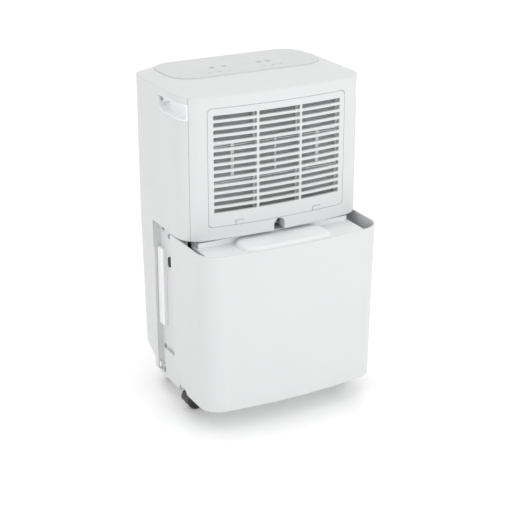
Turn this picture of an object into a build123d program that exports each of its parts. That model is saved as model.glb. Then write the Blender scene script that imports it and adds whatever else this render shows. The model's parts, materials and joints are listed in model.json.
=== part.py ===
"""Upright room dehumidifier with a pull-out water tank.

The tank and the air intake face -Y, which is called the front. +Z is up. The origin lies on the
floor, under the middle of the whole object's box, with the tank drawn out by tank_out.
"""
import os
from math import cos, radians, sin, sqrt

from build123d import *

os.makedirs("parts", exist_ok=True)

# ---------------------------------------------------------------- driving dimensions, mm
body_width = 350
body_depth = 230
total_height = 598
seam_height = total_height - 13     # joint between the casing and the top cover
parting_height = seam_height - 251  # underside of the head
tank_top = parting_height - 3.5     # rim of the tank's cover
skirt_height = 38            # lowest edge of the casing and of the tank's cover
tank_out = 72                # how far the tank stands out of its bay at rest
taper = 0.014                # inward draw of the body below the head, per mm of height

face_radius = 1030           # the front is slightly bowed in plan
rear_radius = 2600
front_corner = 38
rear_corner = 30
wall = 2.5

front_y = (tank_out - body_depth) / 2
rear_y = front_y + body_depth
seam_y = front_y + 20        # upright joint between the front and rear casing
side_edge_y = front_y + 150  # where the tank's wings meet the rear casing when it is home


# ---------------------------------------------------------------- helpers
def finish(builder, name):
    """Labels a finished piece and writes it to its own file."""
    builder.part.label = name
    export_step(builder.part, f"parts/{name}.step")


def sag(radius, half):
    """How far an arc of this radius falls back at half a chord from its middle."""
    return radius - sqrt(radius**2 - half**2)


def box_between(low, high, mode=Mode.ADD):
    """A box from its low corner to its high corner."""
    size = [b - a for a, b in zip(low, high)]
    with Locations(low):
        Box(*size, align=(Align.MIN, Align.MIN, Align.MIN), mode=mode)


def front_plane(y):
    """A plane facing the front, whose sketches are drawn in X and Z."""
    return Plane((0, y, 0), x_dir=(1, 0, 0), z_dir=(0, -1, 0))


def side_plane(x):
    """A plane facing +X, whose sketches are drawn in Y and Z."""
    return Plane((x, 0, 0), x_dir=(0, 1, 0), z_dir=(1, 0, 0))


def body_outline(z, inset=0):
    """The body's plan section at height z, drawn in by inset."""
    draw_in = max(0, parting_height - z) * taper + inset
    half = body_width / 2 - draw_in
    near = front_y + draw_in
    far = rear_y - draw_in
    near_side = near + sag(face_radius, half)
    far_side = far - sag(rear_radius, half)
    with BuildSketch(Plane.XY.offset(z)) as outline:
        with BuildLine():
            ThreePointArc((-half, near_side), (0, near), (half, near_side))
            Line((half, near_side), (half, far_side))
            ThreePointArc((half, far_side), (0, far), (-half, far_side))
            Line((-half, far_side), (-half, near_side))
        make_face()
        fillet(outline.vertices().group_by(Axis.Y)[0], front_corner - inset)
        fillet(outline.vertices().group_by(Axis.Y)[-1], rear_corner - inset)
    return outline.sketch


def body_block(low, high, inset=0):
    """The body's solid form between two heights, drawn in by inset."""
    heights = [low, parting_height, high] if low < parting_height < high else [low, high]
    sections = [body_outline(height, inset) for height in heights]
    with BuildPart() as block:
        for bottom, top in zip(sections, sections[1:]):
            loft([bottom, top], ruled=True)
    return block.part


def body_shell(low, high, outer_inset, inner_inset):
    """The layer of the body's wall that lies between two insets."""
    outside = body_block(low, high, outer_inset)
    inside = body_block(low - 1, high + 1, inner_inset)
    with BuildPart() as shell:
        add(outside)
        add(inside, mode=Mode.SUBTRACT)
    return shell.part


def pan_screw(radius, head_height, shank):
    """A cross-slotted pan-head screw lying along +Z, its seat at the origin."""
    with BuildPart() as screw:
        Cylinder(radius, head_height, align=(Align.CENTER, Align.CENTER, Align.MIN))
        fillet(screw.edges().group_by(Axis.Z)[-1], head_height * 0.45)
        Cylinder(radius * 0.45, shank, align=(Align.CENTER, Align.CENTER, Align.MAX))
        with Locations((0, 0, head_height)):
            Box(radius * 1.1, radius * 0.24, head_height, mode=Mode.SUBTRACT)
            Box(radius * 0.24, radius * 1.1, head_height, mode=Mode.SUBTRACT)
    return screw.part


# ---------------------------------------------------------------- rear casing
slope_deep = 66              # sloped lower rear edge of the body
slope_high = 39
slope_low_z = skirt_height + 18
handle_high = seam_height - 10
handle_low = handle_high - 30
handle_front_y = seam_y      # the hand recess ends where the front casing starts
handle_rear_y = front_y + 114
handle_mid_y = (handle_front_y + handle_rear_y) / 2
handle_mid_z = (handle_low + handle_high) / 2
outlet_half = 118            # air outlet window in the rear wall
outlet_high = seam_height - 33
outlet_low = outlet_high - 92
outlet_mid_z = (outlet_low + outlet_high) / 2
cord_x = 118
cord_z = 130
cord_hole_radius = 8
screw_radius = 4             # pan-head screws, all of one size
screw_head = 2.2
screw_shank = 5
screw_hole = 1.85
rear_screw_x = 132
rear_screw_heights = (108, parting_height - 4, seam_height - 18)

casing_shell = body_shell(skirt_height, seam_height, 0, wall)


def handle_outline(x, inset=0, front_radius=1.5):
    """The hand recess's outline on a plane at x, drawn in by inset."""
    length = handle_rear_y - handle_front_y - 2 * inset
    height = handle_high - handle_low - 2 * inset
    with BuildSketch(side_plane(x)) as outline:
        with Locations((handle_mid_y, handle_mid_z)):
            Rectangle(length, height)
        fillet(outline.vertices().group_by(Axis.X)[0], front_radius)
        fillet(outline.vertices().group_by(Axis.X)[-1].sort_by(Axis.Y)[0], 20 - inset)
        fillet(outline.vertices().group_by(Axis.X)[-1].sort_by(Axis.Y)[-1], 8 - inset)
    return outline.sketch


handle_hole = handle_outline(-200)

# Shallow scoops in the side walls, where fingers reach behind the edges of the tank's wings.
scoop_deep = 1.3
scoop_long = 13
scoop_low = parting_height - 224
scoop_high = parting_height - 54

with BuildPart() as pull_scoops:
    for side in (-1, 1):
        with BuildSketch(Plane.XY.offset(scoop_low)):
            with BuildLine():
                Polyline(
                    (side * (body_width / 2 + 5), side_edge_y - 1),
                    (side * (body_width / 2 - scoop_deep - 1.6), side_edge_y - 1),
                    (side * (body_width / 2 - 0.3), side_edge_y + scoop_long),
                    (side * (body_width / 2 + 5), side_edge_y + scoop_long),
                    close=True,
                )
            make_face()
        extrude(amount=scoop_high - scoop_low)

with BuildPart() as rear_casing:
    add(casing_shell)
    box_between((-200, front_y - 20, 0), (200, seam_y, 600), Mode.SUBTRACT)
    box_between((-200, front_y - 20, 0), (200, side_edge_y, parting_height), Mode.SUBTRACT)
    with BuildSketch(side_plane(-200)):
        with BuildLine():
            Polyline(
                (rear_y - slope_deep, slope_low_z),
                (rear_y + slope_deep, slope_low_z + 2 * slope_high),
                (rear_y + slope_deep, 0),
                (rear_y - slope_deep, 0),
                close=True,
            )
        make_face()
    extrude(amount=400, mode=Mode.SUBTRACT)
    extrude(handle_hole, amount=400, mode=Mode.SUBTRACT)
    with BuildSketch(front_plane(rear_y + 20)):
        with Locations((0, outlet_mid_z)):
            RectangleRounded(2 * outlet_half, outlet_high - outlet_low, 8)
        with Locations((cord_x, cord_z)):
            Circle(cord_hole_radius)
        with Locations([(x, z) for x in (-rear_screw_x, rear_screw_x) for z in rear_screw_heights]):
            Circle(screw_hole)
    extrude(amount=40, mode=Mode.SUBTRACT)
    add(pull_scoops.part, mode=Mode.SUBTRACT)
finish(rear_casing, "rear_casing")

# ---------------------------------------------------------------- front casing of the head
panel_half = 132.7           # air intake panel
panel_low = parting_height + 22.8
panel_high = seam_height - 20
panel_mid_z = (panel_low + panel_high) / 2
panel_height = panel_high - panel_low
panel_corner = 8
panel_gap = 0.6
panel_thick = 5.4
seam_gap = 0.6
notch_radius = 10.5          # drain hose notch in the lower edge
notch_centre_z = parting_height + 11

window_rim = body_shell(parting_height, seam_height, 1, 9)
window_ledge = body_shell(parting_height, seam_height, panel_thick + 0.3, 9)


def panel_frame(outer_growth, inner_growth):
    """A rounded frame in X and Z round the intake panel's outline, for the current sketch."""
    with Locations((0, panel_mid_z)):
        RectangleRounded(
            2 * (panel_half + outer_growth), panel_height + 2 * outer_growth, panel_corner + 1
        )
        RectangleRounded(
            2 * (panel_half + inner_growth),
            panel_height + 2 * inner_growth,
            panel_corner - 1,
            mode=Mode.SUBTRACT,
        )


with BuildPart() as rim:
    add(window_rim)
    with BuildSketch(front_plane(front_y + 30)):
        panel_frame(3.2, panel_gap)
    extrude(amount=60, mode=Mode.INTERSECT)

with BuildPart() as ledge:
    add(window_ledge)
    with BuildSketch(front_plane(front_y + 30)):
        panel_frame(3.2, -5)
    extrude(amount=60, mode=Mode.INTERSECT)


def notch_outline(y, growth=0):
    """The drain notch's arch on a plane at y, grown by growth and open at the bottom."""
    with BuildSketch(front_plane(y)) as outline:
        with Locations((0, notch_centre_z)):
            Circle(notch_radius + growth)
        with Locations((0, (notch_centre_z + parting_height) / 2)):
            Rectangle(2 * (notch_radius + growth), notch_centre_z - parting_height)
    return outline.sketch


notch_arch = notch_outline(front_y + 19, 2)
notch_mouth = notch_outline(front_y + 30)

with BuildPart() as front_casing:
    add(casing_shell)
    extrude(notch_arch, amount=18)
    box_between((-200, front_y - 20, 0), (200, rear_y + 20, parting_height), Mode.SUBTRACT)
    box_between((-200, seam_y - seam_gap, 300), (200, rear_y + 20, 600), Mode.SUBTRACT)
    with BuildSketch(front_plane(front_y + 30)):
        with Locations((0, panel_mid_z)):
            RectangleRounded(
                2 * (panel_half + panel_gap), panel_height + 2 * panel_gap, panel_corner
            )
    extrude(amount=60, mode=Mode.SUBTRACT)
    add(rim.part)
    add(ledge.part)
    extrude(notch_mouth, amount=60, mode=Mode.SUBTRACT)
finish(front_casing, "front_casing")

# ---------------------------------------------------------------- top cover and control deck
deck_half = 150
deck_front_y = front_y + 90
deck_rear_y = rear_y - 10
deck_base_z = total_height - 2.4
deck_corner = 46
cover_lip = 2

deck_size = (2 * deck_half, deck_rear_y - deck_front_y)
deck_mid_y = (deck_front_y + deck_rear_y) / 2


def deck_outline(z, inset=0):
    """The raised deck's plan outline at height z."""
    with BuildSketch(Plane.XY.offset(z)) as outline:
        with Locations((0, deck_mid_y)):
            RectangleRounded(deck_size[0] - 2 * inset, deck_size[1] - 2 * inset, deck_corner - inset)
    return outline.sketch


cover_lip_outline = body_outline(seam_height)
cover_lip_top = body_outline(seam_height + cover_lip)
cover_inner_low = body_outline(seam_height, wall)
cover_inner_lip = body_outline(seam_height + cover_lip - 1, wall)
deck_edge = deck_outline(deck_base_z)
deck_inner_edge = deck_outline(deck_base_z - wall, 0)
deck_pocket = deck_outline(deck_base_z - 0.8, 1.5)

with BuildPart() as top_cover:
    loft([cover_lip_outline, cover_lip_top], ruled=True)
    loft([cover_lip_top, deck_edge], ruled=True)
    loft([cover_inner_low, cover_inner_lip], ruled=True, mode=Mode.SUBTRACT)
    loft([cover_inner_lip, deck_inner_edge], ruled=True, mode=Mode.SUBTRACT)
    extrude(deck_pocket, amount=2, mode=Mode.SUBTRACT)
finish(top_cover, "top_cover")

with BuildPart() as control_deck:
    add(deck_outline(deck_base_z - 0.8, 1.8))
    extrude(amount=total_height - deck_base_z + 0.6)
    fillet(control_deck.edges().group_by(Axis.Z)[-1], 1.4)
finish(control_deck, "control_deck")

# Touch marks are thin printed rings and bars, and small lamps show which mode is on.
mark_z = total_height - 0.2
mark_height = 0.2
key_y = front_y + 143
key_places = [-57, -33, 35, 54]
lamp_y = front_y + 112
lamp_places = [-76, -58, -38, 28, 49, 62]
board_z = seam_height - 1.4

with BuildPart() as touch_marks:
    for x in key_places:
        with BuildSketch(Plane.XY.offset(mark_z)):
            with Locations((x, key_y)):
                Circle(4.6)
                Circle(3.9, mode=Mode.SUBTRACT)
        extrude(amount=mark_height)
    for x in key_places[:2]:
        box_between((x - 0.4, key_y - 2, mark_z), (x + 0.4, key_y + 2, mark_z + mark_height))
    for x in key_places[2:]:
        box_between((x - 2, key_y - 0.4, mark_z), (x + 2, key_y + 0.4, mark_z + mark_height))
finish(touch_marks, "touch_marks")

with BuildPart() as indicator_lamps:
    with BuildSketch(Plane.XY.offset(mark_z)):
        with Locations([(x, lamp_y) for x in lamp_places]):
            RectangleRounded(9, 1.6, 0.7)
    extrude(amount=mark_height)
finish(indicator_lamps, "indicator_lamps")

with BuildPart() as display_board:
    box_between((-105, key_y - 42, board_z - 1.6), (105, key_y + 22, board_z))
    for x in key_places:
        with Locations((x, key_y, board_z)):
            Cylinder(4, 6, align=(Align.CENTER, Align.CENTER, Align.MIN))
    for x in lamp_places:
        with Locations((x, lamp_y, board_z)):
            Box(5, 3, 2, align=(Align.CENTER, Align.CENTER, Align.MIN))
finish(display_board, "display_board")

# ---------------------------------------------------------------- air intake grille and filter
slot_low = panel_low + 22.7
slot_high = panel_high - 9.5
slot_rows = 14
slot_columns = 3
slot_rib = 4
slot_field_half = 122.8
slot_pitch = (slot_high - slot_low) / slot_rows
slot_opening = slot_pitch * 0.61
slot_length = (2 * slot_field_half - (slot_columns - 1) * slot_rib) / slot_columns
clip_places = [-76, 76]
clip_size = (15, 9)
clip_z = panel_low + 3

panel_layer = body_shell(parting_height, seam_height, 0, panel_thick)
clip_layer = body_shell(parting_height, seam_height, -1, 2.2)

with BuildPart() as intake_grille:
    add(panel_layer)
    with BuildSketch(front_plane(front_y + 30)):
        with Locations((0, panel_mid_z)):
            RectangleRounded(2 * panel_half, panel_height, panel_corner)
        with Locations((0, (slot_low + slot_high) / 2)):
            with GridLocations(slot_length + slot_rib, slot_pitch, slot_columns, slot_rows):
                RectangleRounded(slot_length, slot_opening, 1.6, mode=Mode.SUBTRACT)
        with Locations([(x, panel_low) for x in clip_places]):
            Rectangle(clip_size[0] + 1, 2 * (clip_z - panel_low) + clip_size[1] + 1, mode=Mode.SUBTRACT)
    extrude(amount=60, mode=Mode.INTERSECT)
finish(intake_grille, "intake_grille")

with BuildPart() as grille_clips:
    add(clip_layer)
    with BuildSketch(front_plane(front_y + 30)):
        with Locations([(x, clip_z + 1) for x in clip_places]):
            RectangleRounded(clip_size[0], clip_size[1] - 2, 1)
    extrude(amount=60, mode=Mode.INTERSECT)
finish(grille_clips, "grille_clips")

filter_half = 125
filter_low = slot_low - 10.5
filter_high = slot_high + 3.5
filter_y = front_y + 16
filter_deep = 4
filter_border = 5
filter_rib = 3
filter_cross_bar = 5.4       # the two bars across the filter's whole width
filter_post = 6
rib_x = (slot_length + slot_rib) / 2
band_low = slot_low + 4.6 * slot_pitch
band_high = slot_high - 4.4 * slot_pitch
band_mid = (band_low + band_high) / 2

with BuildPart() as filter_frame:
    with BuildSketch(front_plane(filter_y + filter_deep)):
        with Locations((0, (filter_low + filter_high) / 2)):
            RectangleRounded(2 * filter_half, filter_high - filter_low, 5)
            RectangleRounded(
                2 * (filter_half - filter_border),
                filter_high - filter_low - 2 * filter_border,
                2,
                mode=Mode.SUBTRACT,
            )
        with Locations([(0, band_low), (0, band_high)]):
            Rectangle(2 * filter_half - 4, filter_cross_bar)
        with Locations([(0, band_low - 5.4), (0, band_high - 5.4)]):
            Rectangle(2 * filter_half - 4, 1.2)
        for low, high in ((filter_low + 1, band_low), (band_high, filter_high - 1)):
            with Locations([(x, (low + high) / 2) for x in (-rib_x, rib_x)]):
                Rectangle(filter_rib, high - low)
        with Locations([(-2 * rib_x, band_mid), (2 * rib_x, band_mid)]):
            Rectangle(filter_post, band_high - band_low)
        with Locations((0, band_mid)):
            Rectangle(filter_rib, band_high - band_low)
    extrude(amount=filter_deep)
    for x in (-filter_half, filter_half - 4):
        for z in (filter_low + 30, filter_high - 50):
            box_between((x, filter_y - 1.6, z), (x + 4, filter_y, z + 20))
finish(filter_frame, "filter_frame")

mesh_y = filter_y + filter_deep
with BuildPart() as filter_mesh:
    box_between(
        (-filter_half + 2, mesh_y, filter_low + 2), (filter_half - 2, mesh_y + 0.5, filter_high - 2)
    )
finish(filter_mesh, "filter_mesh")

# ---------------------------------------------------------------- heat exchangers
coil_low = filter_low + 5
coil_high = filter_high + 1
fin_left = -118
fin_right = 112
tube_radius = 4.5
tube_passes = 7


def fin_pack(near_y, far_y):
    """A stack of fins as one block, grooved from both sides and bored for its tube."""
    mid_y = (near_y + far_y) / 2
    groove_deep = (far_y - near_y) / 2 - tube_radius - 2
    groove_count = 38
    with BuildPart() as pack:
        box_between((fin_left, near_y, coil_low), (fin_right, far_y, coil_high))
        for y in (near_y + groove_deep / 2, far_y - groove_deep / 2):
            with Locations(((fin_left + fin_right) / 2, y, (coil_low + coil_high) / 2)):
                with GridLocations((fin_right - fin_left) / groove_count, 1, groove_count, 1):
                    Box(4.4, groove_deep, coil_high - coil_low - 4, mode=Mode.SUBTRACT)
        for z in pass_heights:
            with Locations(Location(((fin_left + fin_right) / 2, mid_y, z), (0, 90, 0))):
                Cylinder(tube_radius + 0.05, fin_right - fin_left + 2, mode=Mode.SUBTRACT)
    return pack


def coil_tube(mid_y):
    """One tube that runs to and fro through the fins, with a bend at each end of a run."""
    bend = pass_pitch / 2
    left = fin_left - 3
    right = fin_right + 3
    with BuildPart() as tube:
        with BuildLine(front_plane(mid_y)) as path:
            for index, z in enumerate(pass_heights):
                Line((left, z), (right, z))
                if index < tube_passes - 1:
                    end = right if index % 2 == 0 else left
                    bulge = bend if index % 2 == 0 else -bend
                    ThreePointArc((end, z), (end + bulge, z + bend), (end, z + pass_pitch))
        with BuildSketch(Plane((left, mid_y, pass_heights[0]), z_dir=(1, 0, 0))):
            Circle(tube_radius)
        sweep(path=path.wires()[0])
    return tube


pass_pitch = (coil_high - coil_low) / tube_passes
pass_heights = [coil_low + pass_pitch * (index + 0.5) for index in range(tube_passes)]
evaporator_y = (front_y + 27, front_y + 57)
condenser_y = (front_y + 66, front_y + 92)
for coil_name, (near_y, far_y) in (("evaporator", evaporator_y), ("condenser", condenser_y)):
    finish(fin_pack(near_y, far_y), f"{coil_name}_fins")
    finish(coil_tube((near_y + far_y) / 2), f"{coil_name}_coil")

# ---------------------------------------------------------------- fan
fan_z = parting_height + 138
fan_radius = 68
fan_near_y = front_y + 108
fan_far_y = front_y + 142
motor_near_y = fan_far_y + 6
motor_far_y = motor_near_y + 34
housing_half = 112
housing_low = coil_low - 4
housing_high = coil_high + 8
blade_count = 28
shaft_radius = 4
motor_radius = 36

with BuildPart() as fan_housing:
    box_between((-housing_half, front_y + 98, housing_low), (housing_half, front_y + 198, housing_high))
    box_between(
        (-housing_half + 2.5, front_y + 100.5, housing_low + 2.5),
        (housing_half - 2.5, front_y + 200, housing_high - 2.5),
        Mode.SUBTRACT,
    )
    with BuildSketch(front_plane(front_y + 106)):
        with Locations((0, fan_z)):
            Circle(fan_radius - 6)
            Circle(fan_radius - 8.5, mode=Mode.SUBTRACT)
    extrude(amount=7)
    with BuildSketch(front_plane(front_y + 102)):
        with Locations((0, fan_z)):
            Circle(fan_radius - 8.5)
    extrude(amount=10, mode=Mode.SUBTRACT)
finish(fan_housing, "fan_housing")

with BuildPart() as fan_wheel:
    with BuildSketch(front_plane(fan_far_y)):
        with Locations((0, fan_z)):
            Circle(fan_radius)
            Circle(shaft_radius, mode=Mode.SUBTRACT)
    extrude(amount=2)
    with BuildSketch(front_plane(fan_far_y)):
        with Locations((0, fan_z)):
            Circle(14)
            Circle(shaft_radius, mode=Mode.SUBTRACT)
    extrude(amount=20)
    with BuildSketch(front_plane(fan_far_y - 2)):
        with Locations((0, fan_z)):
            with PolarLocations(fan_radius - 7, blade_count):
                Rectangle(12, 1.6, rotation=35)
    extrude(amount=fan_far_y - fan_near_y - 4)
    with BuildSketch(front_plane(fan_near_y + 2)):
        with Locations((0, fan_z)):
            Circle(fan_radius)
            Circle(fan_radius - 5, mode=Mode.SUBTRACT)
    extrude(amount=2)
finish(fan_wheel, "fan_wheel")

with BuildPart() as fan_shaft:
    with BuildSketch(front_plane(motor_near_y + 26)):
        with Locations((0, fan_z)):
            Circle(shaft_radius)
    extrude(amount=motor_near_y + 26 - fan_far_y + 22)
finish(fan_shaft, "fan_shaft")

with BuildPart() as fan_motor:
    with BuildSketch(front_plane(motor_far_y)):
        with Locations((0, fan_z)):
            Circle(motor_radius)
    extrude(amount=motor_far_y - motor_near_y)
    fillet(fan_motor.edges().filter_by(GeomType.CIRCLE), 4)
    with BuildSketch(front_plane(motor_near_y + 27)):
        with Locations((0, fan_z)):
            Circle(shaft_radius + 0.06)
    extrude(amount=40, mode=Mode.SUBTRACT)
finish(fan_motor, "fan_motor")

with BuildPart() as motor_bracket:
    with BuildSketch(front_plane(motor_far_y + 3)):
        with Locations((0, fan_z)):
            Circle(motor_radius + 4)
            Circle(motor_radius - 12, mode=Mode.SUBTRACT)
        for side in (-1, 1):
            with Locations((side * (housing_half + motor_radius) / 2, fan_z)):
                Rectangle(housing_half - motor_radius - 6, 16)
    extrude(amount=2.6)
finish(motor_bracket, "motor_bracket")

# ---------------------------------------------------------------- air outlet grille
outlet_rows = 9
outlet_pitch = (outlet_high - outlet_low - 12) / outlet_rows

with BuildPart() as outlet_grille:
    add(body_shell(parting_height, seam_height, 0.2, 5))
    with BuildSketch(front_plane(rear_y + 20)):
        with Locations((0, outlet_mid_z)):
            RectangleRounded(2 * outlet_half - 0.8, outlet_high - outlet_low - 0.8, 7.6)
            with GridLocations(outlet_half - 4, outlet_pitch, 2, outlet_rows):
                RectangleRounded(outlet_half - 9, outlet_pitch * 0.62, 2, mode=Mode.SUBTRACT)
    extrude(amount=60, mode=Mode.INTERSECT)
finish(outlet_grille, "outlet_grille")

# ---------------------------------------------------------------- carry handle cups
cup_depth = 18
cup_wall = 2.4
head_block = body_block(parting_height, seam_height, 0.1)
cup_outline = handle_outline(-body_width / 2 + cup_depth, 0.3)
pocket_outline = handle_outline(-body_width / 2 + cup_depth - cup_wall, cup_wall, 4)
handle_screw_y = handle_rear_y - 11
handle_screw_z = handle_high - 8.5
handle_seat_x = body_width / 2 - 4.5

with BuildPart() as cup_pocket:
    extrude(pocket_outline, amount=-40)
    fillet(cup_pocket.edges().group_by(Axis.X)[-1], 3.5)

with BuildPart() as left_handle:
    extrude(cup_outline, amount=-40)
    add(head_block, mode=Mode.INTERSECT)
    add(cup_pocket.part, mode=Mode.SUBTRACT)
    with Locations(Location((-handle_seat_x, handle_screw_y, handle_screw_z), (0, 90, 0))):
        Cylinder(6, handle_seat_x - body_width / 2 + cup_depth, align=(Align.CENTER, Align.CENTER, Align.MIN))
        Cylinder(1.9, 40, mode=Mode.SUBTRACT)
finish(left_handle, "left_handle")

with BuildPart() as right_handle:
    mirror(left_handle.part, about=Plane.YZ)
finish(right_handle, "right_handle")

# ---------------------------------------------------------------- tank bay and head floor
bay_half = 161               # outer face of the bay's side walls
bay_thick = 2.5
bay_front_y = front_y + 42
bay_back_y = front_y + 130
base_low = skirt_height + 6   # underside of the base plate
bay_floor_z = base_low + 4   # top of the base plate
slope = slope_high / slope_deep
bend_y = rear_y - slope_deep + (base_low - slope_low_z) / slope
ceiling_low = parting_height + 0.5
ceiling_high = ceiling_low + 2.5
drain_y = front_y + 113
drain_radius = 9
spigot_tip_y = front_y + 20
spigot_length = 24
bay_screw_places = [
    (front_y + 136, parting_height - 13),
    (front_y + 111, parting_height - 22),
    (front_y + 138, skirt_height + 49),
    (front_y + 140, skirt_height + 2),
]


screw_recess = 1

with BuildPart() as bay_screw_bores:
    with BuildSketch(side_plane(-200)):
        with Locations(bay_screw_places):
            Circle(screw_hole)
    extrude(amount=400)
    for side in (-1, 1):
        with BuildSketch(side_plane(side * (bay_half - screw_recess))):
            with Locations(bay_screw_places):
                Circle(screw_radius + 1.1)
        extrude(amount=side * 6)

# Flanges behind the edges of the rear casing close the gap between it and the bay.
bay_skin = body_block(bay_floor_z, ceiling_low, wall + 0.3)
with BuildPart() as bay_flanges:
    for side in (-1, 1):
        flange_x = sorted((side * (bay_half - bay_thick), side * 200))
        box_between(
            (flange_x[0], side_edge_y + 0.8, bay_floor_z), (flange_x[1], side_edge_y + 3.3, ceiling_low)
        )
    add(bay_skin, mode=Mode.INTERSECT)

# The base plate rises behind its bend, and the bay's lower rear corners are cut to it.
with BuildPart() as floor_wedge:
    with BuildSketch(side_plane(-200)):
        with BuildLine():
            Polyline(
                (bend_y - 1, bay_floor_z),
                (rear_y, bay_floor_z + (rear_y - bend_y + 1) * slope),
                (rear_y, 0),
                (bend_y - 1, 0),
                close=True,
            )
        make_face()
    extrude(amount=400)

with BuildPart() as tank_bay:
    for side in (-1, 1):
        wall_x = sorted((side * bay_half, side * (bay_half - bay_thick)))
        box_between(
            (wall_x[0], bay_front_y, bay_floor_z), (wall_x[1], side_edge_y + 3.3, ceiling_low + 1)
        )
        box_between((wall_x[0], bay_front_y - 2, bay_floor_z), (wall_x[1], bay_front_y, ceiling_low + 1))
    box_between(
        (-bay_half + 1, bay_back_y, bay_floor_z), (bay_half - 1, bay_back_y + bay_thick, ceiling_low + 1)
    )
    add(bay_flanges.part)
    add(body_block(ceiling_low, ceiling_high, wall + 0.4))
    box_between((-200, side_edge_y + 6, ceiling_low - 1), (200, rear_y + 1, ceiling_high + 1), Mode.SUBTRACT)
    box_between(
        (-notch_radius - 2.3, front_y - 1, ceiling_low - 1),
        (notch_radius + 2.3, spigot_tip_y + spigot_length + 1, ceiling_high + 1),
        Mode.SUBTRACT,
    )
    with Locations((0, drain_y, ceiling_low)):
        Cylinder(drain_radius + 0.5, 20, mode=Mode.SUBTRACT)
    add(floor_wedge.part, mode=Mode.SUBTRACT)
    add(bay_screw_bores.part, mode=Mode.SUBTRACT)
finish(tank_bay, "tank_bay")

with BuildPart() as tank_guides:
    for side in (-1, 1):
        with BuildSketch(side_plane(side * bay_half)):
            with Locations((side_edge_y - 12.5, parting_height - 126)):
                RectangleRounded(24.6, 150, 2.5)
        extrude(amount=side * 6.2)
finish(tank_guides, "tank_guides")

with BuildPart() as tank_buffers:
    for side in (-1, 1):
        with BuildSketch(side_plane(side * bay_half)):
            with Locations((front_y + 107, parting_height - 69)):
                SlotOverall(19, 9, rotation=90)
        extrude(amount=side * 3.5)
finish(tank_buffers, "tank_buffers")

# ---------------------------------------------------------------- drip tray and drain
tray_low = parting_height + 21
tray_high = tray_low + 14
tray_near_y = front_y + 23
tray_far_y = front_y + 123
spigot_z = notch_centre_z
spigot_radius = 6
pipe_outer = 7.5

with BuildPart() as drip_tray:
    box_between((-127, tray_near_y, tray_low), (124, tray_far_y, tray_high))
    box_between(
        (-125, tray_near_y + 2, tray_low + 2), (122, tray_far_y - 2, tray_high + 1), Mode.SUBTRACT
    )
    with Locations((0, drain_y, tray_low)):
        Cylinder(5, 20, mode=Mode.SUBTRACT)
finish(drip_tray, "drip_tray")

with BuildPart() as drain_outlet:
    with Locations((0, drain_y, ceiling_low - 1)):
        Cylinder(
            drain_radius,
            tray_low - ceiling_low + 1,
            align=(Align.CENTER, Align.CENTER, Align.MIN),
        )
    with BuildSketch(front_plane(drain_y)):
        with Locations((0, spigot_z)):
            Circle(pipe_outer)
    extrude(amount=drain_y - spigot_tip_y - spigot_length)
    with BuildSketch(front_plane(drain_y)):
        with Locations((0, spigot_z)):
            Circle(spigot_radius)
    extrude(amount=drain_y - spigot_tip_y)
    with Locations((0, drain_y, ceiling_low + 8)):
        Cylinder(5, 60, mode=Mode.SUBTRACT)
    with BuildSketch(front_plane(drain_y)):
        with Locations((0, spigot_z)):
            Circle(spigot_radius - 1.8)
    extrude(amount=drain_y - spigot_tip_y + 1, mode=Mode.SUBTRACT)
finish(drain_outlet, "drain_outlet")

# ---------------------------------------------------------------- base
base_inset = 4.6
base_skirt_low = skirt_height - 8
caster_front = (141, front_y + 49)
caster_rear = (125, front_y + 172)
pin_radius = 4
pin_top = base_low + 9.5
boss_radius = 8
boss_top = base_low + 11
rear_boss_top = base_low + 22
caster_places = {
    "front_left": (-caster_front[0], caster_front[1]),
    "front_right": caster_front,
    "rear_left": (-caster_rear[0], caster_rear[1]),
    "rear_right": caster_rear,
}

base_block = body_block(base_skirt_low, parting_height / 2, base_inset + 0.6)
side_skirt_front_y = front_y + 41
side_skirt_high = skirt_height + 50
skirt_step_y = front_y + 128
skirt_rear_y = side_edge_y + 12
hood_space_y = front_y + 70   # the skirts stay above the swivelling hoods in front of this

with BuildPart() as rear_skirt:
    add(body_shell(base_skirt_low, base_low + 1, 10, 13))
    add(body_shell(base_skirt_low, skirt_height - 2.4, base_inset + 0.4, 10.5))
    box_between((-200, front_y - 20, 0), (200, skirt_step_y - 2, 100), Mode.SUBTRACT)
    box_between((-200, skirt_rear_y, 0), (200, rear_y + 20, 100), Mode.SUBTRACT)
    with BuildSketch(side_plane(-200)):
        with BuildLine():
            Polyline(
                (skirt_rear_y - 8, base_skirt_low),
                (skirt_rear_y + 1, base_skirt_low + 9),
                (skirt_rear_y + 1, base_skirt_low),
                close=True,
            )
        make_face()
    extrude(amount=400, mode=Mode.SUBTRACT)
    add(bay_screw_bores.part, mode=Mode.SUBTRACT)

with BuildPart() as side_skirt:
    add(body_shell(base_skirt_low, side_skirt_high, base_inset, base_inset + 3))
    add(body_shell(side_skirt_high - 3, side_skirt_high - 0.4, base_inset + 1, base_inset + 4.5))
    box_between((-200, skirt_step_y, 0), (200, rear_y + 20, 100), Mode.SUBTRACT)
    box_between((-200, front_y - 20, 0), (200, side_skirt_front_y, 100), Mode.SUBTRACT)
    box_between((-200, front_y - 20, 0), (200, hood_space_y, skirt_height + 0.8), Mode.SUBTRACT)

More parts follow.
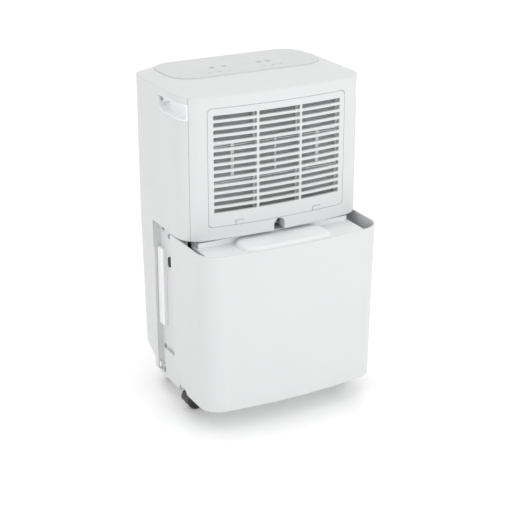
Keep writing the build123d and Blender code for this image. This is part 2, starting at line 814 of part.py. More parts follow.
with BuildPart() as base_tray:
    with BuildSketch(side_plane(-200)):
        with BuildLine():
            Polyline(
                (front_y, base_low),
                (bend_y, base_low),
                (rear_y, base_low + (rear_y - bend_y) * slope),
                (rear_y, bay_floor_z + (rear_y - bend_y) * slope),
                (bend_y, bay_floor_z),
                (front_y, bay_floor_z),
                close=True,
            )
        make_face()
    extrude(amount=400)
    add(base_block, mode=Mode.INTERSECT)
    for side in (-1, 1):
        edge_x = sorted((side * (bay_half + 0.2), side * 200))
        box_between(
            (edge_x[0], skirt_step_y, base_low - 1),
            (edge_x[1], side_edge_y + 2, bay_floor_z + 1),
            Mode.SUBTRACT,
        )
    add(side_skirt.part)
    add(rear_skirt.part)
    for x, y in caster_places.values():
        high = rear_boss_top if y > bend_y else boss_top
        with Locations((x, y, base_low)):
            Cylinder(boss_radius, high - base_low, align=(Align.CENTER, Align.CENTER, Align.MIN))
    for x, y in caster_places.values():
        with Locations((x, y, 0)):
            Cylinder(
                pin_radius + 0.06,
                pin_top + 0.4,
                align=(Align.CENTER, Align.CENTER, Align.MIN),
                mode=Mode.SUBTRACT,
            )
finish(base_tray, "base_tray")

# ---------------------------------------------------------------- casters
wheel_radius = 17
wheel_width = 8
wheel_gap = 7
wheel_clearance = 1.1
axle_radius = 2.5
trail = 6
hood_radius = wheel_radius + 3
hood_half = wheel_width + wheel_gap / 2 + 2.2
neck_top = base_low - 0.8
neck_low = wheel_radius + wheel_radius + wheel_clearance + 0.3


def caster_hood(x, y, wheel_x):
    """The swivelling hood of a caster over and between its wheels, which roll along X."""
    with BuildPart() as hood:
        with BuildSketch(front_plane(y + hood_half)):
            with Locations((wheel_x, wheel_radius)):
                Circle(hood_radius)
            with Locations((wheel_x, wheel_radius - hood_radius / 2 - 1)):
                Rectangle(3 * hood_radius, hood_radius, mode=Mode.SUBTRACT)
        extrude(amount=2 * hood_half)
        for near in (y - hood_half + 1.2, y + wheel_gap / 2 - 0.6):
            with BuildSketch(front_plane(near + wheel_width + 1.6)):
                with Locations((wheel_x, wheel_radius)):
                    Circle(wheel_radius + wheel_clearance)
            extrude(amount=wheel_width + 1.6, mode=Mode.SUBTRACT)
        with BuildSketch(front_plane(y + wheel_gap / 2 - 0.6)):
            with Locations((wheel_x, wheel_radius)):
                Circle(wheel_radius - 4)
        extrude(amount=wheel_gap - 1.2)
        with Locations((x, y, neck_low)):
            Cylinder(9, neck_top - neck_low, align=(Align.CENTER, Align.CENTER, Align.MIN))
        with BuildSketch(front_plane(y + hood_half + 1)):
            with Locations((wheel_x, wheel_radius)):
                Circle(axle_radius + 0.06)
        extrude(amount=2 * hood_half + 2, mode=Mode.SUBTRACT)
    return hood


def caster_wheels(wheel_x, y):
    """A pair of wheels on their common axle."""
    with BuildPart() as wheels:
        for near in (y - wheel_gap / 2 - wheel_width, y + wheel_gap / 2):
            with BuildSketch(front_plane(near + wheel_width)):
                with Locations((wheel_x, wheel_radius)):
                    Circle(wheel_radius)
            extrude(amount=wheel_width)
        fillet(wheels.edges().filter_by(GeomType.CIRCLE), 1.6)
        for face_y in (y - wheel_gap / 2 - wheel_width, y + wheel_gap / 2 + wheel_width):
            with BuildSketch(front_plane(face_y + 1)):
                with Locations((wheel_x, wheel_radius)):
                    Circle(wheel_radius - 4)
                    Circle(6, mode=Mode.SUBTRACT)
            extrude(amount=2, mode=Mode.SUBTRACT)
        with BuildSketch(front_plane(y + wheel_gap / 2 + 1)):
            with Locations((wheel_x, wheel_radius)):
                Circle(axle_radius)
        extrude(amount=wheel_gap + 2)
    return wheels


def caster_pin(x, y):
    """The steel swivel pin, which stands in the base's boss."""
    with BuildPart() as pin:
        with Locations((x, y, neck_top)):
            Cylinder(pin_radius, pin_top - neck_top, align=(Align.CENTER, Align.CENTER, Align.MIN))
        chamfer(pin.edges().group_by(Axis.Z)[-1], 0.8)
    return pin


for place, (x, y) in caster_places.items():
    wheel_x = x + trail if x > 0 else x - trail
    finish(caster_hood(x, y, wheel_x), f"caster_{place}_hood")
    finish(caster_wheels(wheel_x, y), f"caster_{place}_wheels")
    finish(caster_pin(x, y), f"caster_{place}_pin")

# ---------------------------------------------------------------- water tank
# The tank is drawn in its bay, and each piece is then moved out to where it rests.
tank_move = Location((0, -tank_out, 0))
cover_thick = 3
cover_chamfer_high = 53
cover_chamfer_deep = 50
shelf_z = boss_top + 1.5
bucket_half = 153
bucket_near_y = front_y + 17
bucket_far_y = front_y + 126
bucket_low = shelf_z + 3
bucket_high = tank_top - 14.5
bucket_wall = 2
lid_thick = 2.4
bulge_size = (172, 70)       # rounded swelling in the middle of the lid
bulge_y = front_y + 57
bulge_height = 9
step_half = 149              # raised rear part of the lid
step_height = 9.5
step_near_y = front_y + 90 - tank_out
step_far_y = bucket_far_y - 1.5 - tank_out
inlet_size = (64, 14)
float_pivot = (92, front_y + 101, bucket_high - 32)
float_pin_radius = 2

cover_layer = body_shell(skirt_height, tank_top, 0, cover_thick)

with BuildPart() as shelf:
    add(body_block(shelf_z, shelf_z + 2.5, 1))
    box_between((-200, front_y + 38, shelf_z - 1), (200, rear_y, shelf_z + 4), Mode.SUBTRACT)

with BuildPart() as cover_home:
    add(cover_layer)
    add(shelf.part)
    box_between((-200, side_edge_y - 0.6, 0), (200, rear_y + 20, 400), Mode.SUBTRACT)
    with BuildSketch(side_plane(-200)):
        with BuildLine():
            Polyline(
                (side_edge_y, skirt_height + cover_chamfer_high),
                (side_edge_y - cover_chamfer_deep, skirt_height),
                (side_edge_y - cover_chamfer_deep, 0),
                (side_edge_y + 20, 0),
                (side_edge_y + 20, skirt_height + cover_chamfer_high),
                close=True,
            )
        make_face()
    extrude(amount=400, mode=Mode.SUBTRACT)

with BuildPart() as tank_cover:
    add(cover_home.part.moved(tank_move))
    fillet(tank_cover.edges().group_by(Axis.Z)[-1], 1.2)
finish(tank_cover, "tank_cover")


def bucket_block(low, high, inset):
    """The bucket's form between two heights, drawn in by inset."""
    with BuildPart() as block:
        with BuildSketch(Plane.XY.offset(low)):
            with Locations((0, (bucket_near_y + bucket_far_y) / 2 - tank_out)):
                RectangleRounded(
                    2 * (bucket_half - inset), bucket_far_y - bucket_near_y - 2 * inset, 22 - inset
                )
        extrude(amount=high - low)
        if high - low > 20:
            fillet(block.edges().group_by(Axis.Z)[0], 10 - inset)
    return block.part


bucket_inside = bucket_block(bucket_low + bucket_wall, bucket_high + 1, bucket_wall)
lid_plate = bucket_block(bucket_high, bucket_high + lid_thick, 0)
lid_front = body_block(bucket_high, bucket_high + lid_thick, cover_thick + 0.4)

with BuildPart() as tank_bucket:
    add(bucket_block(bucket_low, bucket_high, 0))
    add(bucket_inside, mode=Mode.SUBTRACT)
finish(tank_bucket, "tank_bucket")

with BuildPart() as lid_apron:
    add(lid_front.moved(tank_move))
    box_between(
        (-bucket_half, front_y - tank_out, bucket_high - 1),
        (bucket_half, bay_front_y - 5 - tank_out, tank_top),
        Mode.INTERSECT,
    )

with BuildPart() as tank_lid:
    add(lid_plate)
    add(lid_apron.part)
    with BuildSketch(Plane.XY.offset(bucket_high + lid_thick)):
        with Locations((0, bulge_y - tank_out)):
            RectangleRounded(*bulge_size, 26)
    extrude(amount=bulge_height)
    fillet(tank_lid.edges().group_by(Axis.Z)[-1], bulge_height - 0.4)
    with BuildSketch(Plane.XY.offset(bucket_high - 1)):
        with Locations((0, bulge_y - tank_out)):
            RectangleRounded(bulge_size[0] - 16, bulge_size[1] - 16, 18)
    extrude(amount=bulge_height, mode=Mode.SUBTRACT)
    box_between(
        (-step_half, step_near_y, bucket_high + 1),
        (step_half, step_far_y, bucket_high + lid_thick + step_height),
    )
    box_between(
        (-step_half + lid_thick, step_near_y + lid_thick, bucket_high - 1),
        (step_half - lid_thick, step_far_y - lid_thick, bucket_high + step_height),
        Mode.SUBTRACT,
    )
    with BuildSketch(Plane.XY.offset(bucket_high - 1)):
        with Locations((0, drain_y - tank_out)):
            RectangleRounded(*inlet_size, 6)
    extrude(amount=16, mode=Mode.SUBTRACT)
    for y in (float_pivot[1] - 11, float_pivot[1] + 8):
        box_between(
            (float_pivot[0] - 6, y - tank_out, float_pivot[2] - 6),
            (float_pivot[0] + 6, y + 3 - tank_out, bucket_high + step_height + 0.5),
        )
    with BuildSketch(front_plane(float_pivot[1] + 20 - tank_out)):
        with Locations((float_pivot[0], float_pivot[2])):
            Circle(float_pin_radius)
    extrude(amount=40, mode=Mode.SUBTRACT)
finish(tank_lid, "tank_lid")

with BuildPart() as float_pin:
    with BuildSketch(front_plane(float_pivot[1] + 12 - tank_out)):
        with Locations((float_pivot[0], float_pivot[2])):
            Circle(float_pin_radius)
    extrude(amount=24)
finish(float_pin, "float_pin")

with BuildPart() as float_arm:
    with BuildSketch(front_plane(float_pivot[1] + 6 - tank_out)):
        with Locations((float_pivot[0], float_pivot[2])):
            Circle(5.5)
        with Locations((float_pivot[0] - 25, float_pivot[2])):
            Rectangle(50, 5)
    extrude(amount=12)
    with BuildSketch(Plane.XY.offset(float_pivot[2] - 16)):
        with Locations((float_pivot[0] - 62, float_pivot[1] - tank_out)):
            RectangleRounded(44, 30, 6)
    extrude(amount=22)
    with BuildSketch(front_plane(float_pivot[1] + 20 - tank_out)):
        with Locations((float_pivot[0], float_pivot[2])):
            Circle(float_pin_radius + 0.06)
    extrude(amount=40, mode=Mode.SUBTRACT)
    with Locations((float_pivot[0] - 62, float_pivot[1] - tank_out, float_pivot[2] + 6)):
        Cylinder(5, 8, align=(Align.CENTER, Align.CENTER, Align.MAX), mode=Mode.SUBTRACT)
finish(float_arm, "float_arm")

with BuildPart() as float_magnet:
    with Locations((float_pivot[0] - 62, float_pivot[1] - tank_out, float_pivot[2] + 5)):
        Cylinder(4.9, 6.8, align=(Align.CENTER, Align.CENTER, Align.MAX))
finish(float_magnet, "float_magnet")

# ---------------------------------------------------------------- refrigeration and electrics
compressor_x = 64
compressor_y = front_y + 177
compressor_radius = 43
stand_top = 99
compressor_low = stand_top + 8
compressor_high = compressor_low + 172
stand_half = 44
stand_near_y = bay_back_y + 8
stand_far_y = rear_y - 9
foot_places = [
    (compressor_x + 36 * cos(radians(angle)), compressor_y + 36 * sin(radians(angle)))
    for angle in (90, 210, 330)
]

with BuildPart() as compressor_stand:
    box_between(
        (compressor_x - stand_half, stand_near_y, stand_top - 2),
        (compressor_x + stand_half, stand_far_y, stand_top),
    )
    for x in (compressor_x - stand_half, compressor_x + stand_half - 2):
        with BuildSketch(side_plane(x)):
            with BuildLine():
                Polyline(
                    (stand_near_y, bay_floor_z),
                    (bend_y - 1, bay_floor_z),
                    (stand_far_y, bay_floor_z + (stand_far_y - bend_y + 1) * slope),
                    (stand_far_y, stand_top - 1),
                    (stand_near_y, stand_top - 1),
                    close=True,
                )
            make_face()
        extrude(amount=2)
finish(compressor_stand, "compressor_stand")

with BuildPart() as compressor:
    with Locations((compressor_x, compressor_y, compressor_low)):
        Cylinder(
            compressor_radius - 1.5,
            compressor_high - compressor_low,
            align=(Align.CENTER, Align.CENTER, Align.MIN),
        )
    fillet(compressor.edges().filter_by(GeomType.CIRCLE), 18)
    with Locations((compressor_x, compressor_y, compressor_high - 45)):
        Cylinder(compressor_radius, 5, align=(Align.CENTER, Align.CENTER, Align.MIN))
    with BuildSketch(Plane.XY.offset(compressor_low)):
        with Locations((compressor_x, compressor_y)):
            Circle(24)
        with Locations(foot_places):
            Circle(9)
        with Locations((compressor_x, compressor_y)):
            RegularPolygon(24, 3, rotation=30)
    extrude(amount=3)
    with Locations([(x, y, compressor_low) for x, y in foot_places]):
        Cylinder(4.2, 20, mode=Mode.SUBTRACT)
    with Locations((compressor_x, compressor_y, compressor_high - 2)):
        Cylinder(13, 8, align=(Align.CENTER, Align.CENTER, Align.MIN))
finish(compressor, "compressor")

with BuildPart() as compressor_grommets:
    for x, y in foot_places:
        with Locations((x, y, stand_top)):
            Cylinder(8, compressor_low - stand_top, align=(Align.CENTER, Align.CENTER, Align.MIN))
            Cylinder(4.2, compressor_low - stand_top + 5, align=(Align.CENTER, Align.CENTER, Align.MIN))
finish(compressor_grommets, "compressor_grommets")

accumulator_x = compressor_x + compressor_radius + 20
accumulator_y = compressor_y
with BuildPart() as accumulator:
    with Locations((accumulator_x, accumulator_y, 130)):
        Cylinder(15, 90, align=(Align.CENTER, Align.CENTER, Align.MIN))
    fillet(accumulator.edges().filter_by(GeomType.CIRCLE), 8)
finish(accumulator, "accumulator")


def pipe(points, bend, radius):
    """A round pipe along straight runs joined by bends."""
    with BuildPart() as tube:
        with BuildLine() as path:
            FilletPolyline(*points, radius=bend)
        start = points[0]
        heading = Vector(*points[1]) - Vector(*start)
        with BuildSketch(Plane(start, z_dir=heading)):
            Circle(radius)
        sweep(path=path.wires()[0])
    return tube.part


evaporator_mid_y = sum(evaporator_y) / 2
condenser_mid_y = sum(condenser_y) / 2
pipe_radius = 3
pipe_gap_x = 152
pipe_lift = compressor_high + 24
pipes = [
    pipe(
        [
            (compressor_x, compressor_y, compressor_high + 6.2),
            (compressor_x, compressor_y, pipe_lift + 60),
            (pipe_gap_x - 6, compressor_y, pipe_lift + 60),
            (pipe_gap_x - 6, compressor_y, pass_heights[-1]),
            (pipe_gap_x - 6, condenser_mid_y, pass_heights[-1]),
            (fin_right + 3.2, condenser_mid_y, pass_heights[-1]),
        ],
        9,
        pipe_radius,
    ),
    pipe(
        [
            (accumulator_x, accumulator_y, 220.2),
            (accumulator_x, accumulator_y, pipe_lift + 30),
            (pipe_gap_x + 4, accumulator_y, pipe_lift + 30),
            (pipe_gap_x + 4, accumulator_y, handle_low - 24),
            (pipe_gap_x + 4, evaporator_mid_y, handle_low - 24),
            (pipe_gap_x - 12, evaporator_mid_y, handle_low - 24),
            (pipe_gap_x - 12, evaporator_mid_y, pass_heights[-1]),
            (fin_right + 3.2, evaporator_mid_y, pass_heights[-1]),
        ],
        6,
        pipe_radius,
    ),
    pipe(
        [
            (accumulator_x, accumulator_y, 129.8),
            (accumulator_x, accumulator_y, 112),
            (compressor_x + compressor_radius - 1.4, accumulator_y, 112),
        ],
        9,
        pipe_radius,
    ),
]

with BuildPart() as refrigerant_pipes:
    for tube in pipes:
        add(tube)
finish(refrigerant_pipes, "refrigerant_pipes")

with BuildPart() as control_box:
    box_between((-140, bay_back_y + 5, 150), (-50, bay_back_y + 62, 262))
    fillet(control_box.edges().filter_by(Axis.Z), 4)
    box_between((-137.5, bay_back_y + 2, 152.5), (-52.5, bay_back_y + 59.5, 259.5), Mode.SUBTRACT)
finish(control_box, "control_box")

with BuildPart() as power_board:
    box_between((-134, bay_back_y + 6, 156), (-56, bay_back_y + 7.6, 256))
    box_between((-128, bay_back_y + 7.6, 200), (-96, bay_back_y + 34, 236))
    box_between((-86, bay_back_y + 7.6, 170), (-66, bay_back_y + 24, 190))
    with Locations(Location((-80, bay_back_y + 7.6, 226), (-90, 0, 0))):
        Cylinder(9, 26, align=(Align.CENTER, Align.CENTER, Align.MIN))
finish(power_board, "power_board")

with BuildPart() as capacitor:
    with Locations((-20, bay_back_y + 30, 150)):
        Cylinder(17, 76, align=(Align.CENTER, Align.CENTER, Align.MIN))
    fillet(capacitor.edges().filter_by(GeomType.CIRCLE), 3)
finish(capacitor, "capacitor")

with BuildPart() as capacitor_clamp:
    with BuildSketch(Plane.XY.offset(180)):
        with Locations((-20, bay_back_y + 30)):
            Circle(19)
            Circle(17.02, mode=Mode.SUBTRACT)
        with Locations((-20, bay_back_y + 7)):
            Rectangle(40, 9)
    extrude(amount=12)
finish(capacitor_clamp, "capacitor_clamp")

with BuildPart() as humidity_sensor:
    box_between((134, front_y + 30, panel_mid_z), (137, front_y + 52, panel_mid_z + 34))
    box_between((128, front_y + 34, panel_mid_z + 8), (134, front_y + 46, panel_mid_z + 26))
finish(humidity_sensor, "humidity_sensor")

cord_face_y = rear_y - sag(rear_radius, cord_x) - (parting_height - cord_z) * taper
with BuildPart() as cord_gland:
    with BuildSketch(front_plane(cord_face_y + 3)):
        with Locations((cord_x, cord_z)):
            Circle(11)
    extrude(amount=2.3)
    with BuildSketch(front_plane(cord_face_y + 1)):
        with Locations((cord_x, cord_z)):
            Circle(cord_hole_radius - 0.1)
    extrude(amount=12)
    with BuildSketch(front_plane(cord_face_y + 10)):
        with Locations((cord_x, cord_z)):
            Circle(4)
    extrude(amount=40, mode=Mode.SUBTRACT)
finish(cord_gland, "cord_gland")

# ---------------------------------------------------------------- screws
screw = pan_screw(screw_radius, screw_head, screw_shank)

with BuildPart() as casing_screws:
    for side in (-1, 1):
        for y, z in bay_screw_places:
            add(screw.moved(Location((side * (bay_half - screw_recess), y, z), (0, side * 90, 25))))
        add(screw.moved(Location((side * handle_seat_x, handle_screw_y, handle_screw_z), (0, side * 90, 20))))
        for z in rear_screw_heights:
            seat_y = rear_y - sag(rear_radius, rear_screw_x) - max(0, parting_height - z) * taper
            add(screw.moved(Location((side * rear_screw_x, seat_y + 0.25, z), (-90, 0, 30))))
finish(casing_screws, "casing_screws")
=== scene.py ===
"""Looks for the dehumidifier: camera, studio, and the finish of every piece."""

import json
import math

import bmesh
import bpy
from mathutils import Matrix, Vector


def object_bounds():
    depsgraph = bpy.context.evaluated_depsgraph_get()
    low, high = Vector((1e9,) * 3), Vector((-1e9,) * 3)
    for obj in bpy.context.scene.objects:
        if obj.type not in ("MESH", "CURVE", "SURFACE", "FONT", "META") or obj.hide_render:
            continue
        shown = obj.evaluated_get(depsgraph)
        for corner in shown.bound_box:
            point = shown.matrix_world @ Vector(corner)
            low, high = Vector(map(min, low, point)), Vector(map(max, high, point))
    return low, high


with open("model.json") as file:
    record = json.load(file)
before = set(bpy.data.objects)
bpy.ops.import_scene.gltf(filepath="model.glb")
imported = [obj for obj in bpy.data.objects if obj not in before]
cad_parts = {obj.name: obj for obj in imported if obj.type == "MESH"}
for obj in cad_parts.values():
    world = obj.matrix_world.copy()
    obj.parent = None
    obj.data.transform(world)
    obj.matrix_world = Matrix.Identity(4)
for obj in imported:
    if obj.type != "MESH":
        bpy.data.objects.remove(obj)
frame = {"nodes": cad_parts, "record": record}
nodes = frame["nodes"]


cad_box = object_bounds()
low, high = Vector(cad_box[0]), Vector(cad_box[1])
centre = (low + high) / 2


# ---------------------------------------------------------------- camera
view_azimuth = math.radians(-28.39)
view_pitch = math.radians(20.86)
view_distance = 2.4
aim = centre + Vector((0.017, 0.033, -0.009))
forward = Vector((
    -math.sin(view_azimuth) * math.cos(view_pitch),
    math.cos(view_azimuth) * math.cos(view_pitch),
    -math.sin(view_pitch),
))
camera_data = bpy.data.cameras.new("camera")
camera_data.lens = 91.5
camera_data.sensor_width = 36
camera_data.shift_y = -0.0515
camera = bpy.data.objects.new("camera", camera_data)
camera.location = aim - forward * view_distance
camera.rotation_euler = forward.to_track_quat("-Z", "Y").to_euler()
bpy.context.scene.collection.objects.link(camera)
bpy.context.scene.camera = camera


# ---------------------------------------------------------------- node helpers
class Shader:
    """A material's node tree round one Principled shader, with short ways to add to it."""

    def __init__(self, name):
        self.material = bpy.data.materials.new(name)
        self.material.use_nodes = True
        self.tree = self.material.node_tree
        self.surface = self.tree.nodes["Principled BSDF"]
        self.place = self.tree.nodes.new("ShaderNodeTexCoord").outputs["Object"]

    def add(self, kind, **settings):
        node = self.tree.nodes.new(kind)
        for key, value in settings.items():
            setattr(node, key, value)
        return node

    def link(self, output, socket):
        self.tree.links.new(output, socket)

    def set(self, **sockets):
        for key, value in sockets.items():
            self.surface.inputs[key.replace("_", " ")].default_value = value

    def stretched(self, scale):
        """Object coordinates multiplied by scale along each axis."""
        mapping = self.add("ShaderNodeMapping")
        mapping.inputs["Scale"].default_value = scale
        self.link(self.place, mapping.inputs["Vector"])
        return mapping.outputs["Vector"]

    def noise(self, scale, detail=2, place=None):
        """A cloudy value from 0 to 1, with scale features to the metre."""
        node = self.add("ShaderNodeTexNoise")
        node.inputs["Scale"].default_value = scale
        node.inputs["Detail"].default_value = detail
        self.link(place or self.place, node.inputs["Vector"])
        return node.outputs["Fac"]

    def blend(self, factor, first, second):
        """A colour that goes from first to second as factor goes from 0 to 1."""
        mix = self.add("ShaderNodeMix", data_type="RGBA")
        self.link(factor, mix.inputs["Factor"])
        for socket, value in ((mix.inputs["A"], first), (mix.inputs["B"], second)):
            if isinstance(value, bpy.types.NodeSocket):
                self.link(value, socket)
            else:
                socket.default_value = (*value, 1)
        return mix.outputs["Result"]

    def ramp(self, value, low_in, high_in, low_out, high_out):
        """The value carried over from one range to another."""
        node = self.add("ShaderNodeMapRange")
        self.link(value, node.inputs["Value"])
        node.inputs["From Min"].default_value = low_in
        node.inputs["From Max"].default_value = high_in
        node.inputs["To Min"].default_value = low_out
        node.inputs["To Max"].default_value = high_out
        return node.outputs["Result"]

    def bump(self, height, depth, base=None):
        """A bump of depth metres, laid over another bump or over rounded edges."""
        node = self.add("ShaderNodeBump")
        node.inputs["Distance"].default_value = depth
        self.link(height, node.inputs["Height"])
        if base is not None:
            self.link(base, node.inputs["Normal"])
        return node.outputs["Normal"]

    def soft_edges(self, radius):
        """Normals that round the piece's sharp edges to a radius in metres."""
        node = self.add("ShaderNodeBevel", samples=6)
        node.inputs["Radius"].default_value = radius
        return node.outputs["Normal"]


def tint(colour, factor):
    """The colour made lighter or darker by a factor."""
    return tuple(min(1.0, channel * factor) for channel in colour)


# ---------------------------------------------------------------- materials
def moulded_plastic(name, colour, roughness=0.42, grain=1400, depth=0.00002, edge=0.0006, specular=0.5):
    """Injection-moulded plastic: a spark-eroded grain, slow tone changes and softened edges."""
    shader = Shader(name)
    cloudy = shader.noise(9, detail=3)
    fine = shader.noise(grain, detail=1)
    tone = shader.ramp(cloudy, 0.3, 0.7, 0, 1)
    body = shader.blend(tone, tint(colour, 0.985), tint(colour, 1.01))
    speck = shader.ramp(fine, 0.35, 0.65, 0, 1)
    shader.link(shader.blend(speck, tint(colour, 0.975), body), shader.surface.inputs["Base Color"])
    shader.link(
        shader.ramp(shader.noise(60, detail=2), 0.3, 0.7, roughness - 0.05, roughness + 0.05),
        shader.surface.inputs["Roughness"],
    )
    shader.link(shader.bump(fine, depth, shader.soft_edges(edge)), shader.surface.inputs["Normal"])
    shader.set(Specular_IOR_Level=specular)
    return shader.material


def glossy_panel(name, colour):
    """The touch deck's smooth sheet, with faint wipe marks."""
    shader = Shader(name)
    wipes = shader.noise(3, detail=3, place=shader.stretched((2, 9, 2)))
    haze = shader.ramp(shader.noise(14, detail=3), 0.3, 0.7, 0, 1)
    shader.link(shader.blend(haze, tint(colour, 0.985), colour), shader.surface.inputs["Base Color"])
    shader.link(shader.ramp(wipes, 0.3, 0.7, 0.3, 0.38), shader.surface.inputs["Roughness"])
    shader.link(shader.soft_edges(0.0008), shader.surface.inputs["Normal"])
    return shader.material


def metal(name, colour, roughness, brushed=(1, 1, 60), depth=0.00001):
    """Bare or plated metal with fine lines along one direction and uneven polish."""
    shader = Shader(name)
    lines = shader.noise(40, detail=3, place=shader.stretched(brushed))
    patches = shader.noise(35, detail=3)
    shader.link(
        shader.blend(shader.ramp(patches, 0.3, 0.7, 0, 1), tint(colour, 0.86), colour),
        shader.surface.inputs["Base Color"],
    )
    shader.link(
        shader.ramp(lines, 0.3, 0.7, roughness - 0.07, roughness + 0.08), shader.surface.inputs["Roughness"]
    )
    shader.link(shader.bump(lines, depth, shader.soft_edges(0.0003)), shader.surface.inputs["Normal"])
    shader.set(Metallic=1.0)
    return shader.material


def rubber(name, colour):
    """Dull rubber with a dusty bloom."""
    shader = Shader(name)
    dust = shader.noise(220, detail=4)
    shader.link(
        shader.blend(shader.ramp(dust, 0.45, 0.75, 0, 1), colour, tint(colour, 2.2)),
        shader.surface.inputs["Base Color"],
    )
    shader.link(shader.ramp(dust, 0.3, 0.7, 0.62, 0.82), shader.surface.inputs["Roughness"])
    shader.link(shader.bump(dust, 0.00004, shader.soft_edges(0.0004)), shader.surface.inputs["Normal"])
    return shader.material


def gauze(name, colour):
    """Fine woven filter cloth: threads across and up, with the gaps darker."""
    shader = Shader(name)
    threads = []
    for direction in ("X", "Z"):
        wave = shader.add("ShaderNodeTexWave", wave_type="BANDS", bands_direction=direction)
        wave.inputs["Scale"].default_value = 260
        shader.link(shader.place, wave.inputs["Vector"])
        threads.append(wave.outputs["Fac"])
    weave = shader.add("ShaderNodeMath", operation="MAXIMUM")
    shader.link(threads[0], weave.inputs[0])
    shader.link(threads[1], weave.inputs[1])
    dusty = shader.blend(
        shader.ramp(shader.noise(30, detail=4), 0.35, 0.75, 0, 1), tint(colour, 0.85), tint(colour, 1.1)
    )
    woven = shader.blend(weave.outputs["Value"], tint(colour, 0.45), dusty)
    shader.link(woven, shader.surface.inputs["Base Color"])
    shader.link(shader.bump(weave.outputs["Value"], 0.0003), shader.surface.inputs["Normal"])
    shader.set(Roughness=0.9)
    return shader.material


def finned(name, colour):
    """Thin upright aluminium fins, drawn as fine lines on the packs; the dark lines are painted shade in
    the gaps between fins.
    """
    shader = Shader(name)
    wave = shader.add("ShaderNodeTexWave", wave_type="BANDS", bands_direction="X")
    wave.inputs["Scale"].default_value = 180
    shader.link(shader.place, wave.inputs["Vector"])
    # Painted shade: the dark bands stand for the shade in the narrow gaps between the fins.
    lines = shader.blend(wave.outputs["Fac"], tint(colour, 0.25), colour)
    shader.link(lines, shader.surface.inputs["Base Color"])
    shader.link(shader.bump(wave.outputs["Fac"], 0.0006), shader.surface.inputs["Normal"])
    shader.link(shader.ramp(shader.noise(50), 0.3, 0.7, 0.3, 0.5), shader.surface.inputs["Roughness"])
    shader.set(Metallic=0.9)
    return shader.material


white = (0.715, 0.72, 0.725)
finishes = {
    "casing_white": moulded_plastic("casing_white", white),
    "deck_white": glossy_panel("deck_white", (0.64, 0.645, 0.65)),
    "bay_white": moulded_plastic("bay_white", (0.73, 0.735, 0.74), roughness=0.5),
    # A paler white, painted light for the recessed pieces set below, where shade falls.
    "painted_light_white": moulded_plastic("painted_light_white", (0.91, 0.915, 0.92), roughness=0.45),
    "tank_white": moulded_plastic("tank_white", white, roughness=0.38),
    "bucket_clear": moulded_plastic("bucket_clear", (0.8, 0.82, 0.83), roughness=0.3, depth=0.00001),
    "print_grey": moulded_plastic("print_grey", (0.36, 0.37, 0.38), roughness=0.5),
    "lamp_lens": moulded_plastic("lamp_lens", (0.5, 0.51, 0.52), roughness=0.2),
    "filter_white": moulded_plastic("filter_white", (0.9, 0.905, 0.91), roughness=0.5),
    "filter_gauze": gauze("filter_gauze", (0.5, 0.505, 0.51)),
    "fin_aluminium": finned("fin_aluminium", (0.8, 0.81, 0.82)),
    "tube_copper": metal("tube_copper", (0.72, 0.36, 0.22), 0.3),
    "sheet_steel": metal("sheet_steel", (0.62, 0.63, 0.64), 0.38, brushed=(60, 1, 1)),
    "screw_steel": metal("screw_steel", (0.42, 0.42, 0.43), 0.3),
    "compressor_black": moulded_plastic("compressor_black", (0.02, 0.02, 0.022), roughness=0.22, grain=500),
    "motor_steel": moulded_plastic("motor_steel", (0.2, 0.205, 0.21), roughness=0.35, grain=500),
    "fan_plastic": moulded_plastic("fan_plastic", (0.05, 0.05, 0.053), roughness=0.45),
    "board_green": moulded_plastic("board_green", (0.03, 0.16, 0.06), roughness=0.3),
    "box_grey": moulded_plastic("box_grey", (0.3, 0.305, 0.31), roughness=0.55),
    "black_rubber": rubber("black_rubber", (0.02, 0.02, 0.021)),
    "caster_black": moulded_plastic("caster_black", (0.028, 0.028, 0.03), roughness=0.4, edge=0.0008),
    "float_white": moulded_plastic("float_white", (0.78, 0.78, 0.76), roughness=0.7, grain=500),
    "magnet_black": moulded_plastic("magnet_black", (0.03, 0.03, 0.032), roughness=0.5),
    "capacitor_can": metal("capacitor_can", (0.75, 0.76, 0.77), 0.3, brushed=(1, 1, 60)),
}
slot_of = {part["node"]: part["material_slot"] for part in frame["record"]["subparts"]}
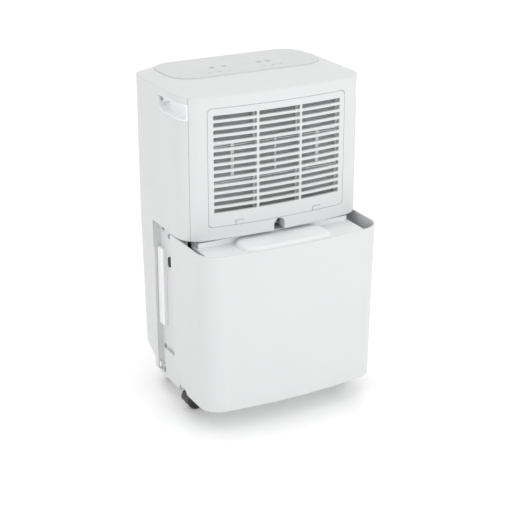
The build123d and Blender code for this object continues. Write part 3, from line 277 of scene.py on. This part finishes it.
# Painted light: the lid, the hand recesses, the tank's guides and the drain outlet get a paler white than
# the shells round them, which lightens the shade that falls in and under them.
for name in ("tank_lid", "left_handle", "right_handle", "tank_guides", "drain_outlet"):
    slot_of[name] = "painted_light_white"
for name, piece in nodes.items():
    piece.data.materials.clear()
    piece.data.materials.append(finishes[slot_of[name]])


# ---------------------------------------------------------------- studio
def floor_material():
    """A white table top, faintly lit from below so that the shadow on it stays pale."""
    shader = Shader("studio_floor")
    shader.link(
        shader.blend(shader.noise(3, detail=2), (0.97, 0.97, 0.97), (0.985, 0.985, 0.985)),
        shader.surface.inputs["Base Color"],
    )
    shader.set(Roughness=0.22, Specular_IOR_Level=0.5)
    shader.set(Emission_Color=(1, 1, 1, 1), Emission_Strength=0.1)
    return shader.material


def floor_sheet(size=9.0):
    """The table top itself, just under the wheels."""
    mesh = bpy.data.meshes.new("studio_floor")
    builder = bmesh.new()
    bmesh.ops.create_grid(builder, x_segments=4, y_segments=4, size=size / 2)
    builder.to_mesh(mesh)
    builder.free()
    sheet = bpy.data.objects.new("studio_floor", mesh)
    sheet.location = (0, 0, low.z - 0.0005)
    mesh.materials.append(floor_material())
    bpy.context.scene.collection.objects.link(sheet)


def soft_box(name, place, size, power):
    """A large square lamp that faces the object."""
    lamp = bpy.data.lights.new(name, "AREA")
    lamp.shape = "SQUARE"
    lamp.size = size
    lamp.energy = power
    holder = bpy.data.objects.new(name, lamp)
    holder.location = place
    holder.rotation_euler = (centre - Vector(place)).to_track_quat("-Z", "Y").to_euler()
    bpy.context.scene.collection.objects.link(holder)


floor_sheet()
soft_box("key_light", (0.6, -2.4, 1.3), 1.8, 11)
soft_box("top_light", (-0.2, -0.4, 2.6), 2.0, 1)
soft_box("fill_light", (-2.4, -0.6, 1.2), 2.0, 0.5)
world = bpy.data.worlds.new("studio")
bpy.context.scene.world = world
world.use_nodes = True
world.node_tree.nodes["Background"].inputs["Color"].default_value = (1, 1, 1, 1)
world.node_tree.nodes["Background"].inputs["Strength"].default_value = 1.0
bpy.context.scene.view_settings.view_transform = "Standard"
